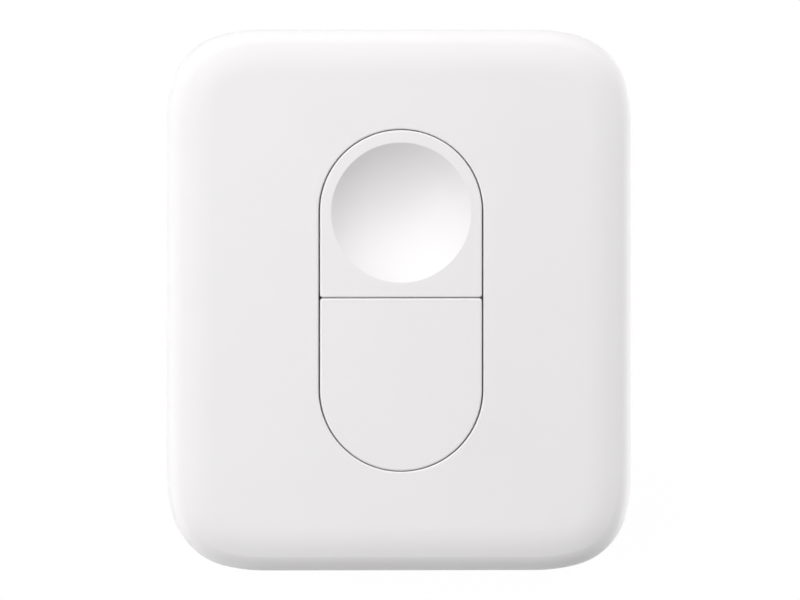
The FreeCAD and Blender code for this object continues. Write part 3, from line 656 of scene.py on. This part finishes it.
def board_front():
    """Tracks, pads and solder on the side of the board that carries the parts."""
    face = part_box("circuit_board")[1].z
    tracks = bmesh.new()
    solder = bmesh.new()
    rim = Vector((pad_rim, pad_rim))
    for low, high in [box for node in SOLDERED for box in solids_of(node)]:
        plate(solder, low.xy - rim, high.xy + rim, face, face + copper_rise)
        half = (high - low) / 2
        climb = (high.z - low.z) * solder_climb
        bead(solder, middle(low, high), half.x + solder_reach, half.y + solder_reach, face, climb)

    chip_low, chip_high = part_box("radio_chip_leads")
    chip_x, chip_y = middle(chip_low, chip_high)
    terminals = [middle(*box) for node in ("lower_switch_terminals", "upper_switch_terminals")
                 for box in solids_of(node)[:2]]
    antenna_low, antenna_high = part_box("antenna")
    inductor_low, inductor_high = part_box("inductor")
    capacitor_low, capacitor_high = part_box("capacitors")
    resistor_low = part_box("resistors")[0]
    buses = sorted({round(low.x, place_digits) - bus_offset for low, _ in solids_of("capacitors")})
    free_end = (chip_high.x + free_end_lane * track_pitch, chip_y + free_end_lead * lead_pitch)
    targets = (
        terminals[0],
        terminals[1],
        (buses[0], middle(inductor_low, inductor_high)[1]),
        capacitor_low.xy,
        terminals[2],
        free_end,
        terminals[3],
        (antenna_low.x, antenna_high.y),
    )
    for k, (target, lane) in enumerate(zip(targets, lead_lanes)):
        start = (chip_high.x, chip_y + (k - (len(lead_lanes) - 1) / 2) * lead_pitch)
        track(tracks, route(start, chip_high.x + lane * track_pitch, target), face, track_rise)
    via(solder, free_end, face, copper_rise)
    crystal_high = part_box("crystal_base")[1]
    for side in (-1, 1):
        x = chip_x + side * crystal_lead * lead_pitch
        track(tracks, [(x, chip_low.y), (x, crystal_high.y)], face, track_rise)

    for x in buses:
        tail = (x, resistor_low.y - bus_tail)
        track(tracks, [tail, (x, capacitor_high.y)], face, bus_rise)
        via(solder, tail, face, copper_rise)
    add_piece("board_front_tracks", tracks, "housing", "board_laminate", "masked_copper")
    add_piece("board_front_solder", solder, "housing", "tin")


def board_back():
    """Weld pad, test pads and tracks on the side of the board that faces the cell."""
    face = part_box("circuit_board")[0].z
    low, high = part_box("negative_contact")
    x, y = middle(low, high)
    half = (high.x - low.x) / 2
    tracks = bmesh.new()
    solder = bmesh.new()
    pads = bmesh.new()
    rim = half + weld_pad_rim
    plate(pads, (x - rim, y - weld_pad_half), (x + rim, y + weld_pad_half), face, face - copper_rise)
    for side in (-1, 1):
        for offset in (-weld_spot_offset, weld_spot_offset):
            bead(solder, (x + side * half, y + offset), weld_spot, weld_spot, face, -weld_spot_rise)

    # The tracks of the first column of test pads pass between the pads of the second
    for row in range(test_pad_rows):
        pad_y = y + (row - (test_pad_rows - 1) / 2) * test_pad_pitch
        for column in range(2):
            pad_x = x + test_pad_column + column * test_pad_pitch
            disc(pads, (pad_x, pad_y), test_pad_radius, face, -copper_rise)
            end = (x + test_via_column, pad_y + (column - 1) * test_pad_pitch / 2)
            path = [(pad_x, pad_y), end]
            if column == 0:
                path = route((pad_x, pad_y), pad_x + test_pad_pitch / 2, end)
            track(tracks, path, face, -track_rise)
            via(solder, end, face, -copper_rise)

    for k in range(bundle_tracks):
        track_x = x - bundle_column - k * track_pitch
        ends = [(track_x, y + side * (bundle_half - k * bundle_step)) for side in (-1, 1)]
        track(tracks, ends, face, -track_rise)
        for end in ends:
            via(solder, end, face, -copper_rise)
    add_piece("board_back_tracks", tracks, "housing", "board_laminate", "masked_copper")
    add_piece("board_back_pads", pads, "housing", "copper")
    add_piece("board_back_solder", solder, "housing", "tin")


foam_pad()
board_front()
board_back()


# Floor, background and light

def larger(tree, a, b):
    """The larger of two values."""
    node = tree.nodes.new("ShaderNodeMath")
    node.operation = "MAXIMUM"
    tree.links.new(a, node.inputs[0])
    tree.links.new(b, node.inputs[1])
    return node.outputs[0]


def ray_is(tree, *kinds):
    """1 for the kinds of ray named, and 0 for the rest."""
    path = tree.nodes.new("ShaderNodeLightPath")
    total = path.outputs[kinds[0]]
    for kind in kinds[1:]:
        total = larger(tree, total, path.outputs[kind])
    return total


def diffuse(tree, value):
    """Matte grey shader."""
    node = tree.nodes.new("ShaderNodeBsdfDiffuse")
    node.inputs["Color"].default_value = (value, value, value, 1.0)
    return node.outputs[0]


def joined(tree, kind, *sources):
    """Shader of a kind that takes these as its inputs, in order."""
    node = tree.nodes.new(kind)
    for source, socket in zip(sources, node.inputs):
        tree.links.new(source, socket)
    return node.outputs[0]


def floor_material():
    """White with a faint shadow where it is seen, and pale for its bounce.

    From below, and to lamps, it is clear.
    """
    material = bpy.data.materials.new("floor")
    material.use_nodes = True
    tree = material.node_tree
    tree.nodes.clear()
    glow = tree.nodes.new("ShaderNodeEmission")
    glow.inputs["Color"].default_value = WHITE
    glow.inputs["Strength"].default_value = floor_glow
    seen = joined(tree, "ShaderNodeAddShader", glow.outputs[0], diffuse(tree, floor_shadow))
    bounce = diffuse(tree, floor_bounce)
    top = joined(tree, "ShaderNodeMixShader", ray_is(tree, *SEEN), bounce, seen)
    below = tree.nodes.new("ShaderNodeNewGeometry").outputs["Backfacing"]
    passed = larger(tree, below, ray_is(tree, "Is Shadow Ray"))
    clear = tree.nodes.new("ShaderNodeBsdfTransparent").outputs[0]
    sides = joined(tree, "ShaderNodeMixShader", passed, top, clear)
    output = tree.nodes.new("ShaderNodeOutputMaterial")
    tree.links.new(sides, output.inputs["Surface"])
    return material


def rounded_outline(half_x, half_y, radius):
    """Points round a rounded rectangle, counter-clockwise from its right side."""
    points = []
    for quarter, (sx, sy) in enumerate(((1, 1), (-1, 1), (-1, -1), (1, -1))):
        for k in range(floor_corner_steps + 1):
            angle = math.radians(90 * (quarter + k / floor_corner_steps))
            x = sx * (half_x - radius) + radius * math.cos(angle)
            y = sy * (half_y - radius) + radius * math.sin(angle)
            points.append((x, y))
    return points


def make_floor():
    """Floor with an opening under the remote, so that its back is lit and seen from below."""
    half_x = cad_high.x - floor_hole_inset
    half_y = cad_high.y - floor_hole_inset
    inner = rounded_outline(half_x, half_y, floor_hole_corner)
    outer = []
    for x, y in inner:
        stretch = floor_half / max(abs(x), abs(y))
        outer.append((x * stretch, y * stretch))
    count = len(inner)
    vertices = [(x, y, -floor_drop) for x, y in inner + outer]
    faces = [(k, k + count, (k + 1) % count + count, (k + 1) % count) for k in range(count)]
    mesh = bpy.data.meshes.new("floor")
    mesh.from_pydata(vertices, [], faces)
    mesh.materials.append(floor_material())
    floor = bpy.data.objects.new("floor", mesh)
    bpy.context.scene.collection.objects.link(floor)


def make_world():
    """White where it is seen or reflected, and a grey ambient light for the rest."""
    world = bpy.data.worlds.new("studio")
    bpy.context.scene.world = world
    world.use_nodes = True
    tree = world.node_tree
    background = tree.nodes["Background"]
    background.inputs["Color"].default_value = WHITE
    level = tree.nodes.new("ShaderNodeMapRange")
    level.inputs["To Min"].default_value = ambient
    level.inputs["To Max"].default_value = 1.0
    tree.links.new(ray_is(tree, *SEEN), level.inputs["Value"])
    tree.links.new(level.outputs[0], background.inputs["Strength"])


def towards(azimuth, elevation):
    """Direction from the remote to a lamp: azimuth from +X round to +Y, elevation above the floor."""
    a, e = math.radians(azimuth), math.radians(elevation)
    return Vector((math.cos(a) * math.cos(e), math.sin(a) * math.cos(e), math.sin(e)))


def make_lamp(name, azimuth, elevation, distance, size, level):
    """Square softbox that gives a facing surface its level.

    At a level of 1 a colour renders as it is written.
    """
    light = bpy.data.lights.new(name, "AREA")
    light.size = size
    light.energy = level * (math.pi * distance) ** 2
    # Only shadow rays pass the floor, so a lamp below it is sampled by them alone
    light.cycles.use_multiple_importance_sampling = elevation > 0
    lamp = bpy.data.objects.new(name, light)
    way = towards(azimuth, elevation)
    lamp.location = Vector((0, 0, cad_high.z)) + way * distance
    lamp.rotation_euler = way.to_track_quat("Z", "Y").to_euler()
    lamp.visible_camera = False
    bpy.context.scene.collection.objects.link(lamp)


def make_camera():
    """Long lens above the remote, its top edge towards +Y, a little off straight down."""
    camera_data = bpy.data.cameras.new("camera")
    camera_data.lens = lens
    camera_data.sensor_width = sensor
    camera = bpy.data.objects.new("camera", camera_data)
    left = math.radians(camera_to_left)
    top = math.radians(camera_to_top)
    away = Vector((-math.sin(left) * math.cos(top), math.sin(top), math.cos(left) * math.cos(top)))
    camera.location = Vector((0, 0, outline_level)) + away * picture_width * lens / sensor
    camera.rotation_euler = (-top, -left, 0)
    bpy.context.scene.collection.objects.link(camera)
    bpy.context.scene.camera = camera


make_floor()
make_world()
for name, settings in LAMPS.items():
    make_lamp(name, **settings)
make_camera()

bpy.context.scene.view_settings.view_transform = "Standard"
